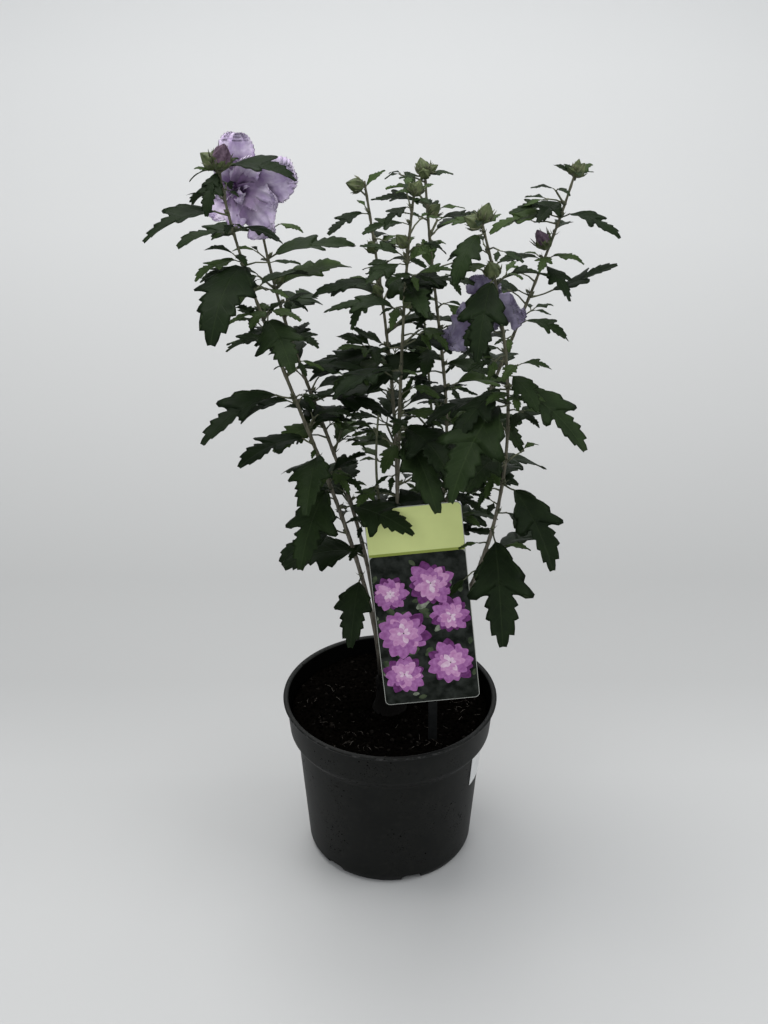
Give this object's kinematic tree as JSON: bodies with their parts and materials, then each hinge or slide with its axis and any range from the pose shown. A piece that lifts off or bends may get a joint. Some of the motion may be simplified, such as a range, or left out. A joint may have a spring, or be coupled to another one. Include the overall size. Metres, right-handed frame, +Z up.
{
  "type": "potted rose of sharon",
  "caption": "Young rose of sharon shrub in a round nursery pot: upright canes with lobed, toothed leaves, buds and lilac blooms, and an upright plant label.",
  "frame": {"origin": "centre of the pot's flat underside", "axes": "+Z up, +X to the plant's right as seen from the label's side, +Y to its back"},
  "size_m": [0.3382, 0.2117, 0.6265],
  "materials": {
    "pot": "charcoal polypropylene, satin",
    "sticker": "matt white film",
    "soil": "moist peat compost",
    "bark": "smooth grey-brown bark",
    "label": "printed plastic card, semi-gloss",
    "foliage": "soft green leaves, semi-matt"
  },
  "bodies": {
    "root": {"pot": "pot", "pot_sticker": "sticker", "soil": "soil", "root_crown": "bark", "plant_label": "label", "left_outer_cane": "bark", "left_inner_cane": "bark", "back_left_cane": "bark", "front_middle_cane": "bark", "middle_cane": "bark", "right_outer_cane": "bark", "right_inner_cane": "bark", "left_outer_foliage": "foliage", "left_inner_foliage": "foliage", "back_left_foliage": "foliage", "front_middle_foliage": "foliage", "middle_foliage": "foliage", "right_outer_foliage": "foliage", "right_inner_foliage": "foliage"}
  },
  "joints": []
}
